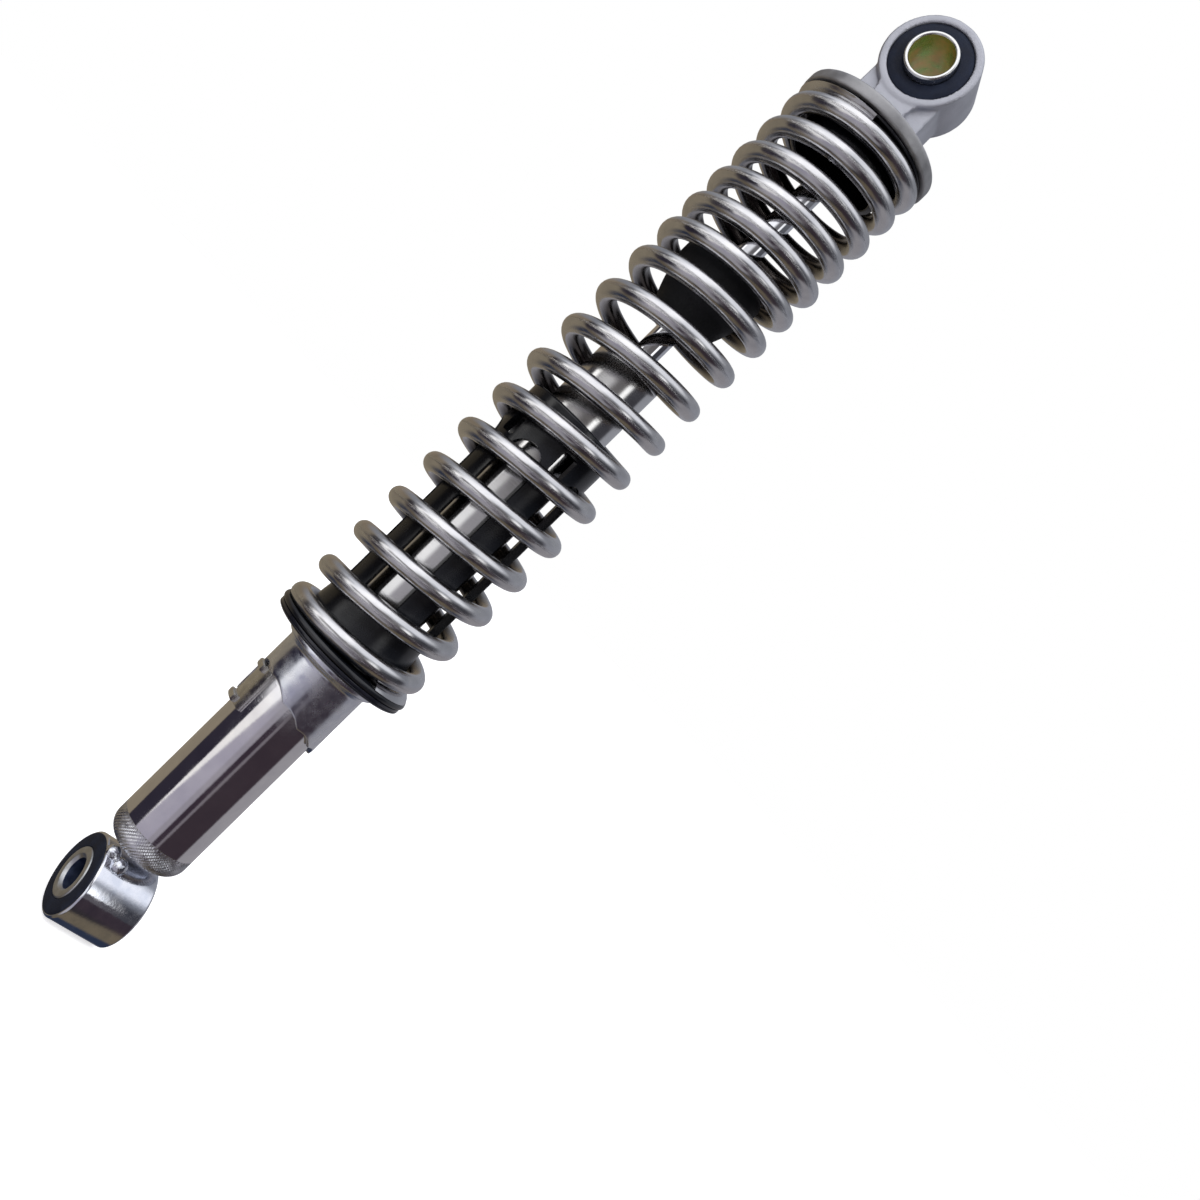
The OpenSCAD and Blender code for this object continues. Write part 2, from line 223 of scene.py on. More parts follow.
def along_bore(obj, centre, axis):
    """Turns a lathed object's Z to lie along a bore, and its X to point down."""
    turn = Matrix.Rotation(math.atan2(axis.y, axis.x), 4, "Z") @ Matrix.Rotation(math.pi / 2, 4, "Y")
    obj.data.transform(Matrix.Translation(centre * MM) @ turn)
    return obj


def moved(obj, offset=(0, 0, 0), turn=0):
    """Turns an object about Z and then shifts it."""
    obj.data.transform(Matrix.Translation(Vector(offset) * MM) @ Matrix.Rotation(math.radians(turn), 4, "Z"))
    return obj


def settle(obj):
    """Replaces an object's mesh by what its modifiers make of it."""
    depsgraph = bpy.context.evaluated_depsgraph_get()
    mesh = bpy.data.meshes.new_from_object(obj.evaluated_get(depsgraph))
    obj.modifiers.clear()
    obj.data = mesh


def combine(obj, parts, operation):
    """Joins, or cuts away, other closed objects."""
    for part in parts:
        modifier = obj.modifiers.new("combine", "BOOLEAN")
        modifier.object = part
        modifier.operation = operation
        modifier.solver = "EXACT"
    settle(obj)
    for part in parts:
        bpy.data.objects.remove(part)
    return obj


def cast(obj, voxel, passes):
    """Melts an object's edges and inner corners together, as a mould does."""
    remesh = obj.modifiers.new("remesh", "REMESH")
    remesh.mode = "VOXEL"
    remesh.voxel_size = voxel * MM
    smooth = obj.modifiers.new("smooth", "SMOOTH")
    smooth.factor = 0.5
    smooth.iterations = passes
    settle(obj)
    shade(obj, 180)


def bevel_edges(obj, width, sharp):
    """Rounds an object's sharp edges a little."""
    bevel = obj.modifiers.new("bevel", "BEVEL")
    bevel.width = width * MM
    bevel.segments = 2
    bevel.limit_method = "ANGLE"
    bevel.angle_limit = math.radians(sharp)
    settle(obj)
    shade(obj, sharp)


# --- Materials ------------------------------------------------------------------------------------

def scaled_noise(tree, place, size, stretch, detail=3.0):
    """Noise whose cells are about size millimetres wide, drawn out by stretch."""
    mapping = tree.nodes.new("ShaderNodeMapping")
    mapping.inputs["Scale"].default_value = [1 / (size * MM * pull) for pull in stretch]
    tree.links.new(place, mapping.inputs["Vector"])
    texture = tree.nodes.new("ShaderNodeTexNoise")
    texture.inputs["Scale"].default_value = 1
    texture.inputs["Detail"].default_value = detail
    tree.links.new(mapping.outputs["Vector"], texture.inputs["Vector"])
    return texture.outputs["Fac"]


def surface(name, low, high, metallic, roughness, cloud, grain, bump, stretch=(1, 1, 1), attribute=None,
            mask=None, painted_shade=None, **sockets):
    """A material whose colour and roughness drift with a wide noise, and whose bump follows a fine one.

    low and high are its two colours, roughness a pair to go with them, cloud and grain the sizes of the two
    noises, and bump the depth of the fine one. stretch draws the fine noise out, as brushing does. attribute
    names a mesh attribute to lay the noises along, and mask one that turns the colour towards painted_shade,
    a dark colour painted on as shade.
    """
    material = bpy.data.materials.new(name)
    material.use_nodes = True
    tree = material.node_tree
    shader = tree.nodes["Principled BSDF"]
    shader.inputs["Metallic"].default_value = metallic
    for socket, value in sockets.items():
        shader.inputs[socket.replace("_", " ")].default_value = value
    if attribute:
        source = tree.nodes.new("ShaderNodeAttribute")
        source.attribute_name = attribute
        place = source.outputs["Vector"]
    else:
        place = tree.nodes.new("ShaderNodeTexCoord").outputs["Object"]
    wide = scaled_noise(tree, place, cloud, (1, 1, 1))
    fine = scaled_noise(tree, place, grain, stretch)

    spread = tree.nodes.new("ShaderNodeMapRange")
    spread.inputs["From Min"].default_value = 0.35
    spread.inputs["From Max"].default_value = 0.65
    tree.links.new(wide, spread.inputs["Value"])
    mix = tree.nodes.new("ShaderNodeMix")
    mix.data_type = "RGBA"
    mix.inputs["A"].default_value = (*low, 1)
    mix.inputs["B"].default_value = (*high, 1)
    tree.links.new(spread.outputs["Result"], mix.inputs["Factor"])
    colour = mix.outputs["Result"]
    if mask:
        cover = tree.nodes.new("ShaderNodeAttribute")
        cover.attribute_name = mask
        veil = tree.nodes.new("ShaderNodeMix")
        veil.data_type = "RGBA"
        veil.inputs["B"].default_value = (*painted_shade, 1)
        tree.links.new(cover.outputs["Fac"], veil.inputs["Factor"])
        tree.links.new(colour, veil.inputs["A"])
        colour = veil.outputs["Result"]
    tree.links.new(colour, shader.inputs["Base Color"])

    both = tree.nodes.new("ShaderNodeMath")
    both.operation = "MULTIPLY_ADD"
    both.inputs[1].default_value = 0.5
    tree.links.new(fine, both.inputs[0])
    tree.links.new(wide, both.inputs[2])
    gloss = tree.nodes.new("ShaderNodeMapRange")
    gloss.inputs["From Min"].default_value = 0.55
    gloss.inputs["From Max"].default_value = 0.95
    gloss.inputs["To Min"].default_value = roughness[0]
    gloss.inputs["To Max"].default_value = roughness[1]
    tree.links.new(both.outputs["Value"], gloss.inputs["Value"])
    tree.links.new(gloss.outputs["Result"], shader.inputs["Roughness"])

    relief = tree.nodes.new("ShaderNodeBump")
    relief.inputs["Distance"].default_value = bump * MM
    tree.links.new(fine, relief.inputs["Height"])
    tree.links.new(relief.outputs["Normal"], shader.inputs["Normal"])
    return material


cast_metal = surface(
    "cast_aluminium", (0.40, 0.41, 0.455), (0.50, 0.51, 0.56), 0.7, (0.40, 0.55), 7, 0.5, 0.04)
# A darker copy of the cast aluminium, a painted shade for the flange.
flange_shaded_metal = surface(
    "cast_flange_painted_shade", (0.29, 0.29, 0.30), (0.41, 0.41, 0.42), 0.8, (0.36, 0.52), 5, 0.5, 0.04)
rubber = surface("bush_rubber", (0.007, 0.010, 0.021), (0.015, 0.020, 0.036), 0, (0.6, 0.85), 4, 0.5, 0.05,
                 Specular_IOR_Level=0.3)
zinc = surface("yellow_zinc", (0.40, 0.56, 0.18), (0.78, 0.56, 0.24), 0.85, (0.24, 0.40), 5, 1.2, 0.02)
bright_steel = surface("bright_steel", (0.72, 0.72, 0.71), (0.84, 0.84, 0.83), 1, (0.16, 0.28), 3, 0.5, 0.01)
# The side of the wire that faces the axis is painted a dark brown: a painted shade inside the spring.
spring_steel = surface(
    "spring_chrome", (0.56, 0.56, 0.58), (0.72, 0.715, 0.72), 1, (0.12, 0.29), 9, 0.8, 0.035,
    stretch=(5, 1, 1), attribute="wire", mask="inside", painted_shade=(0.085, 0.075, 0.07))
tube_steel = surface("drawn_steel", (0.66, 0.66, 0.66), (0.76, 0.755, 0.75), 1, (0.13, 0.21), 12, 0.5, 0.008,
                     stretch=(8, 8, 0.6))
rod_metal = surface("rod_chrome", (0.74, 0.75, 0.78), (0.80, 0.81, 0.84), 1, (0.04, 0.09), 10, 0.6, 0.003)
cover_metal = surface("cover_chrome", (0.74, 0.73, 0.76), (0.84, 0.83, 0.84), 1, (0.03, 0.12), 9, 1.1, 0.010,
                      stretch=(1, 1, 0.25))
collar_metal = surface(
    "collar_chrome", (0.66, 0.69, 0.77), (0.84, 0.86, 0.91), 1, (0.16, 0.32), 5, 2.2, 0.012)
knurl_metal = surface("base_chrome", (0.66, 0.67, 0.71), (0.80, 0.80, 0.83), 1, (0.24, 0.38), 3, 0.6, 0.02)
eye_metal = surface("eye_chrome", (0.66, 0.69, 0.77), (0.82, 0.83, 0.88), 1, (0.05, 0.16), 4, 0.9, 0.018)
weld_metal = surface("weld_chrome", (0.52, 0.54, 0.60), (0.80, 0.82, 0.86), 1, (0.10, 0.28), 1.6, 0.7, 0.05)
lug_metal = surface("lug_steel", (0.58, 0.57, 0.55), (0.74, 0.73, 0.70), 1, (0.14, 0.30), 3, 0.6, 0.02)
satin_black = surface(
    "satin_black_plastic", (0.004, 0.005, 0.007), (0.009, 0.010, 0.013), 0, (0.15, 0.28), 10, 0.7, 0.010)
gloss_black = surface(
    "gloss_black_plastic", (0.006, 0.007, 0.012), (0.014, 0.015, 0.022), 0, (0.10, 0.24), 8, 0.9, 0.010)
matte_black = surface(
    "matte_black_rubber", (0.007, 0.008, 0.010), (0.014, 0.014, 0.016), 0, (0.60, 0.85), 5, 0.6, 0.04)
sleeve_metal = surface("grey_sleeve", (0.46, 0.47, 0.48), (0.60, 0.61, 0.62), 1, (0.28, 0.46), 3, 0.5, 0.02)
# The lower sleeve's bore is painted a dark blue, a painted shade in the hollow.
shaded_bore_metal = surface(
    "dark_blue_bore_painted_shade", (0.05, 0.07, 0.14), (0.10, 0.13, 0.22), 0.8, (0.35, 0.5), 3, 0.6, 0.02)
plain_steel = surface("plain_steel", (0.46, 0.46, 0.46), (0.60, 0.60, 0.59), 1, (0.25, 0.4), 5, 0.6, 0.01)
sintered = surface("sintered_steel", (0.24, 0.24, 0.25), (0.34, 0.34, 0.34), 0.9, (0.45, 0.65), 3, 0.4, 0.03)
ring_plastic = surface("bronze_plastic", (0.20, 0.10, 0.05), (0.28, 0.15, 0.08), 0, (0.35, 0.5), 4, 0.6, 0.01)


# --- Putting pieces on their bodies ---------------------------------------------------------------

def dress(obj, material, node):
    """Gives a piece its material and lets it stand for a CAD node: it goes on that node's body and the node
    is hidden.
    """
    obj.data.materials.clear()
    obj.data.materials.append(material)
    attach(obj, frame["nodes"][node]["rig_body"])
    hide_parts(node)


def paint_bore(obj, material, centre, axis, radius):
    """Gives the faces of a bore their own material."""
    obj.data.materials.append(material)
    for face in obj.data.polygons:
        offset = face.center / MM - centre
        away = offset - offset.dot(axis) * axis
        if away.length < radius and face.normal.dot(away) < 0:
            face.material_index = 1


# --- Upper eye ------------------------------------------------------------------------------------

FLANGE_THICKNESS = 4.2
UPPER_RING_R = 15.2
UPPER_RING_HALF = 9.3
UPPER_RIB_DEPTH = 18
UPPER_WEB_DEPTH = 14
# Longer each way from the middle of a bore than any piece that is cut along it
CUT = 20
flange_z, _, _, flange_r = extents("upper_eye_casting")
flange_top = flange_z + FLANGE_THICKNESS
bush_r = extents("upper_bush_rubber", upper_centre, upper_axis)[3]


def upper_eye():
    """The cast eye: a ring, a neck of a rib and a web, and the spring flange, melted together."""
    casting = lathe("upper_eye_detail", rounded([
        (0, flange_z), (flange_r, flange_z, 0.5), (flange_r, flange_top, 1.0), (0, flange_top),
    ], 0.5))
    ring = along_bore(lathe("ring", rounded([
        (0, -UPPER_RING_HALF), (UPPER_RING_R, -UPPER_RING_HALF, 0.7),
        (UPPER_RING_R, UPPER_RING_HALF, 0.7), (0, UPPER_RING_HALF),
    ], 1)), upper_centre, upper_axis)
    height = upper_centre.z - flange_top
    # Half widths of the neck at shares of its height, from the flange up
    rib_sides = [
        (9, -0.08), (7.4, 0.03), (6.5, 0.12), (6.2, 0.25), (6.6, 0.38), (8.2, 0.5), (10.2, 0.62), (11, 1),
    ]
    web_sides = [(14, -0.08), (13, 0.03), (12.4, 0.12), (12.2, 0.5), (12, 1)]
    parts = [ring]
    for sides, depth in ((rib_sides, UPPER_RIB_DEPTH), (web_sides, UPPER_WEB_DEPTH)):
        outline = [(-share * height, half) for half, share in sides]
        outline += [(down, -half) for down, half in reversed(outline)]
        parts.append(along_bore(prism("neck", outline, depth), Vector((0, 0, flange_top)), upper_axis))
    combine(casting, parts, "UNION")
    bore = along_bore(cylinder("bore", bush_r, -CUT, CUT), upper_centre, upper_axis)
    _, rod_top, _, rod_r = extents("piston_rod")
    rod_hole = cylinder("hole", rod_r, flange_z - FLANGE_THICKNESS, rod_top)
    combine(casting, [bore, rod_hole], "DIFFERENCE")
    cast(casting, voxel=0.4, passes=5)
    dress(casting, cast_metal, "upper_eye_casting")
    # The flange, up to just under its top edge, takes a darker copy of the cast metal: a painted shade
    flange_shade_top = (flange_top - 0.35) * MM
    casting.data.materials.append(flange_shaded_metal)
    for face in casting.data.polygons:
        if face.center.z < flange_shade_top:
            face.material_index = 1


def bush(name, node, centre, axis, eye_half, lip_r):
    """A rubber bush whose ends bulge a little round the sleeve and may lie over the end of the eye."""
    low, high, inner, outer = extents(node, centre, axis)
    half = (high - low) / 2
    seat_r = min(outer, lip_r) - 0.05
    side = [
        (inner, half - 0.35), (inner + 0.35, half - 0.05), (inner + 1.2, half), (lip_r - 1.6, half - 0.08),
        (lip_r - 0.35, eye_half + 0.35), (lip_r, eye_half + 0.02), (seat_r, eye_half - 0.3),
        (seat_r, eye_half - 1),
    ]
    outline = side + [(radius, -height) for radius, height in reversed(side)]
    dress(along_bore(lathe(name, rounded(outline, 0.5, 3)), centre, axis), rubber, node)


def sleeve(name, node, centre, axis, chamfer, metal, bore_metal):
    """A steel sleeve with chamfered ends, whose bore takes a material of its own; on the lower sleeve it is a
    painted shade.
    """
    low, high, inner, outer = extents(node, centre, axis)
    edge = 0.35
    outline = rounded([
        (inner, low + chamfer), (inner + chamfer, low), (outer - edge, low), (outer, low + edge),
        (outer, high - edge), (outer - edge, high), (inner + chamfer, high), (inner, high - chamfer),
    ], 0.15, 2)
    piece = along_bore(lathe(name, outline), centre, axis)
    dress(piece, metal, node)
    paint_bore(piece, bore_metal, centre, axis, inner + 0.02)


def upper_guide():
    """The black ring under the flange and the skirt that centres the spring."""
    low, high, inner, outer = extents("upper_spring_guide")
    skirt_r, wall, plate = 17, 2, 0.9
    outline = rounded([
        (skirt_r - wall, low), (skirt_r, low), (skirt_r, high - plate), (outer, high - plate),
        (outer, high), (inner, high), (inner, high - plate), (skirt_r - wall, high - plate),
    ], 0.4)
    dress(lathe("upper_guide_detail", outline), satin_black, "upper_spring_guide")


# --- Spring ---------------------------------------------------------------------------------------

spring_low, spring_high, _, spring_r = extents("coil_spring")
WIRE_R = 3.25
COIL_R = spring_r - WIRE_R
TURNS = 17.883
# Where the wire's lower tip lies, and how thick the ground tips are
TIP_ANGLE = 9
TIP_THICKNESS = 1.7
# The end turns lie close together. The pitch changes at RATE_CHANGE, over RATE_TURNS
END_PITCH = 3.9
END_TURNS = 1.7
CLOSE_PITCH = 10.6
RATE_CHANGE = 9.6
RATE_TURNS = 2.6
COIL_LOW = spring_low + TIP_THICKNESS - WIRE_R
COIL_HIGH = spring_high - TIP_THICKNESS + WIRE_R
CLOSE_TURNS = TURNS - RATE_CHANGE - RATE_TURNS / 2 - END_TURNS / 2
OPEN_TURNS = RATE_CHANGE + RATE_TURNS / 2 - END_TURNS / 2
OPEN_PITCH = (COIL_HIGH - COIL_LOW - END_PITCH * END_TURNS - CLOSE_PITCH * CLOSE_TURNS) / OPEN_TURNS
# Turn at which the spring is split into a lower and an upper part
SPLIT_TURN = 3.2


def step_area(x):
    """Area under a smooth step from 0 to 1 that runs over one unit."""
    return 0 if x < 0 else x - 0.5 if x > 1 else x ** 3 - x ** 4 / 2


def coil_height(turn):
    """Height of the wire's middle, counted in turns from the lower tip."""
    return (
        COIL_LOW + END_PITCH * turn
        + (OPEN_PITCH - END_PITCH) * END_TURNS * step_area(turn / END_TURNS)
        - (OPEN_PITCH - CLOSE_PITCH) * RATE_TURNS * step_area((turn - RATE_CHANGE) / RATE_TURNS)
        - (CLOSE_PITCH - END_PITCH) * END_TURNS * step_area((turn - TURNS + END_TURNS) / END_TURNS)
    )


def coil_part(name, start, end, most_close):
    """A stretch of the spring. Each turn's share of the closing, at most most_close, is counted but not put
    to use.
    """
    sides, per_turn = 28, 72
    count = round((end - start) * per_turn)
    turns = [start + (end - start) * k / count for k in range(count + 1)]
    points, lengths, inside = [], [], []
    for turn in turns:
        angle = math.radians(TIP_ANGLE + 360 * turn)
        for side in range(sides):
            around = math.tau * side / sides
            radius = COIL_R + WIRE_R * math.cos(around)
            height = coil_height(turn) + WIRE_R * math.sin(around)
            ground = min(max(height, spring_low), spring_high)
            points.append((radius * math.cos(angle), radius * math.sin(angle), ground))
            lengths.append((turn * math.tau * COIL_R, side * math.tau * WIRE_R / sides, 0))
            # Painted shade: the side of the wire that faces the axis is marked to take a dark colour,
            # standing in for the shade inside the spring
            inside.append(min(max(-0.25 - 1.6 * math.cos(around), 0), 1))
    mesh = bpy.data.meshes.new(name)
    mesh.from_pydata([Vector(point) * MM for point in points], [], grid_faces(count + 1, sides, False))
    wire = mesh.attributes.new("wire", "FLOAT_VECTOR", "POINT")
    wire.data.foreach_set("vector", [value * MM for place in lengths for value in place])
    mesh.attributes.new("inside", "FLOAT", "POINT").data.foreach_set("value", inside)
    face_outwards(mesh)
    obj = bpy.data.objects.new(name, mesh)
    scene.collection.objects.link(obj)
    shade(obj, 40)
    obj.data.materials.append(spring_steel)

    # How far each turn can close before it lies on the next one sets how much of the travel it takes. The
    # turns whose wire is ground flat lie on their seats and don't close.
    spare, margin = 0.25, 0.1
    lowest, highest = spring_low + WIRE_R + margin, spring_high - WIRE_R - margin
    shares, total = [], 0
    for turn in turns:
        shares.append(total)
        if lowest < coil_height(turn) < highest:
            gap = coil_height(turn + 0.5) - coil_height(turn - 0.5) - 2 * WIRE_R - spare
            total += min(max(gap, 0), most_close)
    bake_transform(obj)
    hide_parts("coil_spring")


# --- Bump stop, guide and seat --------------------------------------------------------------------

def bump_stop():
    """The tapered rubber on the rod."""
    low, high, inner, outer = extents("bump_stop")
    outline = rounded([
        (inner, low), (8.6, low, 0.6), (10.2, low + 1.6), (11.6, low + 4.8), (12.8, low + 8),
        (14.6, low + 14.5), (outer, low + 17, 1), (outer, high - 1), (outer - 1, high), (inner, high),
    ], 1.5)
    dress(lathe("bump_stop_detail", outline), matte_black, "bump_stop")


SLOT_COUNT = 5
SLOT_ANGLE = 319.5
SLOT_WIDTH = 12.3
SLOT_LOW = 120
SLOT_HIGH = 187
WINDOW_WIDTH = 5.4
WINDOW_LOW = 184
WINDOW_HIGH = 192


def guide_opening(name, width, low, high, round_top, angle):
    """A cutter for an opening in the guide's wall, with small round corners or a round top."""
    half, depth, away = width / 2, 20, 20
    lower, upper = 1.0, 0.8
    outline = [(low, -half, lower), (high, -half, upper), (high, half, upper), (low, half, lower)]
    if round_top:
        arch = [
            (high - half + half * math.sin(math.radians(a)), -half * math.cos(math.radians(a)))
            for a in range(0, 181, 12)
        ]
        outline = [outline[0], *arch, outline[3]]
    cutter = prism(name, rounded(outline, 0), depth)
    # The prism's X goes up, its Y across the opening and its Z out of the guide
    cutter.data.transform(Matrix(((0, 0, 1, away * MM), (0, -1, 0, 0), (1, 0, 0, 0), (0, 0, 0, 1))))
    return moved(cutter, turn=angle)


def spring_guide():
    """The black tube inside the spring, with five slots and a window between each pair."""
    low, high, inner, outer = extents("spring_guide")
    wall_r, bore_r, seat_top, flare_r = 16.8, 14, 104.6, 17.9
    outline = rounded([
        (inner, low), (outer - 0.8, low, 0.3), (outer, low + 0.6, 0.3), (outer, low + 1.4, 0.3),
        (outer - 0.5, seat_top, 0.2), (flare_r, seat_top, 0.4), (flare_r, low + 8, 2), (wall_r, low + 16, 3),
        (wall_r, high, 0.9), (bore_r, high, 0.6), (bore_r, low + 12, 1), (inner, low + 10, 0.5),
    ], 0.3)
    guide = lathe("spring_guide_detail", outline)
    openings = []
    for k in range(SLOT_COUNT):
        angle = SLOT_ANGLE + 360 / SLOT_COUNT * k
        between = angle + 180 / SLOT_COUNT
        openings.append(guide_opening("slot", SLOT_WIDTH, SLOT_LOW, SLOT_HIGH, True, angle))
        openings.append(guide_opening("window", WINDOW_WIDTH, WINDOW_LOW, WINDOW_HIGH, False, between))
    combine(guide, openings, "DIFFERENCE")
    shade(guide, 30)
    dress(guide, satin_black, "spring_guide")


def spring_seat():
    """The black ring under the guide, with a fine groove round its edge."""
    low, high, inner, outer = extents("spring_seat")
    middle, groove_half, groove_depth = (low + high) / 2, 0.12, 0.35
    outline = rounded([
        (inner, low), (outer - 1, low, 0.4), (outer, low + 0.55, 0.3), (outer, middle - groove_half, 0.1),
        (outer - groove_depth, middle, 0.05), (outer, middle + groove_half, 0.1), (outer, high, 0.25),
        (inner, high),
    ], 0.2)
    dress(lathe("spring_seat_detail", outline, 180), gloss_black, "spring_seat")


# --- Adjuster -------------------------------------------------------------------------------------

# Polar angles between which the front lug lies, and the gap between a lug and the collar's tooth
LUG_FROM = 256
LUG_TO = 292
LUG_GAP = 0.1
# The collar's steps, twice round: how much each one rises and turns, and how deep it is scalloped
STEPS = 4
STEP_RISE = 3
STEP_ANGLE = 34
TOOTH_DEPTH = 1.1
NOTCH_ANGLE = 40


def adjuster_collar():
    """The pressed collar: its lower edge climbs in scalloped steps, and its top rolls out under the seat."""
    low, high, inner, flange = extents("adjuster_collar")
    wall, roll, columns = 15, 0.4, 480
    tip = extents("stop_lugs")[1] + LUG_GAP

    def edge(angle):
        """Height of the lower edge at a polar angle."""
        place = (angle - LUG_TO + NOTCH_ANGLE) % 180 - NOTCH_ANGLE
        if place < 0:
            return tip + TOOTH_DEPTH * math.sin(math.pi * (place + NOTCH_ANGLE) / NOTCH_ANGLE)
        step, share = int(place // STEP_ANGLE), place % STEP_ANGLE / STEP_ANGLE
        if step >= STEPS:
            return low
        return tip - (step + share) * STEP_RISE + TOOTH_DEPTH * math.sin(math.pi * share)

    top = [
        (wall, high - 5.2), (wall, high - 4.6), (wall + 0.25, high - 3.9), (wall + 0.9, high - 3.3),
        (flange - 0.6, high - 3.0), (flange - 0.15, high - 2.7), (flange, high - 2.2), (flange, high - 0.8),
        (flange - 0.2, high - 0.25), (flange - 0.8, high), (inner + 0.5, high), (inner, high - 0.4),
    ]
    points = []
    for column in range(columns):
        angle = 360 * column / columns
        z = edge(angle)
        outline = [
            (inner, z + roll), (inner + roll / 3, z + roll / 4), (inner + roll, z), (wall - roll, z),
            (wall - roll / 3, z + roll / 4), (wall, z + roll), (wall, z + 3 * roll), *top,
        ]
        turn = math.radians(angle)
        points += [(radius * math.cos(turn), radius * math.sin(turn), height) for radius, height in outline]
    collar = solid("adjuster_collar_detail", points, grid_faces(columns, len(outline), True), 45)
    dress(collar, collar_metal, "adjuster_collar")


def stop_lugs():
    """The folded lug that the collar's steps rest on, with its two ears, and a plain one behind."""
    low, high, inner, outer = extents("stop_lugs")
    web_r, ear_height, ear_angle, back_from = inner + 1.2, 2.4, 20, LUG_FROM + 24
    # The root goes into the cover's wall, and the webs lie a hair inside the ears
    root, hair, lap = inner - 0.1, 0.02, 0.5
    lugs = sector("stop_lugs_detail", rounded([
        (root, low), (outer, low, 0.8), (outer, low + ear_height, 0.8), (web_r, low + ear_height, 0.3),
        (web_r, high - ear_height, 0.3), (outer, high - ear_height, 0.8), (outer, high, 0.8), (root, high),
    ], 0.2), LUG_FROM, LUG_FROM + ear_angle)
    web = rounded([
        (root, low + hair), (web_r, low + hair), (web_r, high - hair), (root, high - hair),
    ], 0.25)
    webs = [
        sector("web", web, LUG_FROM + lap, LUG_TO),
        sector("web", web, back_from + 180, LUG_TO + 180),
    ]
    combine(lugs, webs, "UNION")
    bevel_edges(lugs, width=0.22, sharp=50)
    dress(lugs, lug_metal, "stop_lugs")


# --- Damper ---------------------------------------------------------------------------------------

def piston_rod():
    """The chromed rod, with its thinner threaded stud below."""
    low, high, _, rod_r = extents("piston_rod")
    step = extents("rebound_stop")[0]
    stud_r = 3
    outline = rounded([
        (0, low), (stud_r, low, 0.4), (stud_r, step, 0.1), (rod_r, step, 0.3), (rod_r, high, 0.5), (0, high),
    ], 0.3)
    dress(lathe("piston_rod_detail", outline, 96), rod_metal, "piston_rod")


def damper_tube():
    """The drawn tube, with the small crimp mark that shows in one slot."""
    low, high, inner, outer = extents("damper_tube")
    tube = lathe("damper_tube_detail", rounded([
        (inner, low), (outer, low), (outer, high, 0.05), (inner, high),
    ], 0.2))
    mark_angle, mark_height = FRONT - 27.5, 158.8
    mark = lathe("mark", [(0, -0.9), (0.15, -0.9), (0.55, 0.4), (0, 0.4)], 24)
    mark.data.transform(Matrix.Rotation(math.pi / 2, 4, "Y"))
    mark.data.transform(Matrix.Translation(Vector((outer, 0, mark_height)) * MM))
    combine(tube, [moved(mark, turn=mark_angle)], "DIFFERENCE")
    shade(tube, 30)
    dress(tube, tube_steel, "damper_tube")


def gland_cap():
    """The turned cap that closes the tube round the rod."""
    low, high, inner, outer = extents("gland_cap")
    outline = rounded([
        (inner, low), (outer, low, 0.05), (outer, high, 0.9), (inner + 1.4, high, 0.3),
        (inner + 1.0, high - 0.5, 0.2), (inner, high - 0.5, 0.2),
    ], 0.2)
    dress(lathe("gland_cap_detail", outline), tube_steel, "gland_cap")


def chrome_cover():
    """The bright cover over the lower half of the tube, closed in round the tube at its top."""
    low, high, inner, outer = extents("chrome_cover")
    wall = 1.2
    outline = rounded([
        (outer - wall, low), (outer, low, 0.15), (outer, high, 1.0), (inner, high, 0.2),
        (inner, high - wall, 0.2), (outer - wall, high - wall, 0.4),
    ], 0.2)
    dress(lathe("chrome_cover_detail", outline, 192), cover_metal, "chrome_cover")


def base_cap():
    """The rounded base with a band of slanted knurling."""
    low, high, _, outer = extents("base_cap")
    # The strokes: how many, how deep, and how far they lean, as a slope. Towards the axis they stop
    strokes, depth, lean, knurled_from = 60, 0.42, 1.156, outer * 0.62
    band_low, band_high, fade = low + 0.35, high - 0.2, 0.3

    def knurl(radius, height, angle):
        """Raises slanted strokes whose depth drifts a little, as on a rolled knurl."""
        cover = min((height - band_low) / fade, (band_high - height) / fade, 1)
        if cover <= 0 or radius < knurled_from:
            return radius, height
        wave = math.sin(strokes * (angle - lean * (height - low) / outer))
        drift = 0.75 + 0.5 * noise.noise(Vector((3 * math.cos(angle), 3 * math.sin(angle), height * 0.5)))
        return radius + depth * drift * cover * (min(wave, 0.1) - 0.1), height

    shoulder_r, shoulder_h, curve_steps, wall_steps = 6.2, 5.5, 20, 8
    shoulder = low + shoulder_h
    curve = [
        (outer - shoulder_r * (1 - math.cos(t)), shoulder + shoulder_h * math.sin(t))
        for t in (math.radians(90 * k / curve_steps - 90) for k in range(curve_steps + 1))
    ]
    wall = [(outer, shoulder + (high - shoulder) * k / wall_steps) for k in range(1, wall_steps + 1)]
    inside = high - 0.4
    outline = [(0, low), *curve, *wall, (outer - 1.2, high), (outer - 1.8, inside), (0, inside)]
    dress(lathe("base_cap_detail", outline, 12 * strokes, knurl, 60), knurl_metal, "base_cap")


# --- Lower eye ------------------------------------------------------------------------------------

ring_low, ring_high, ring_inner, ring_outer = extents("lower_eye_ring", lower_centre, lower_axis)


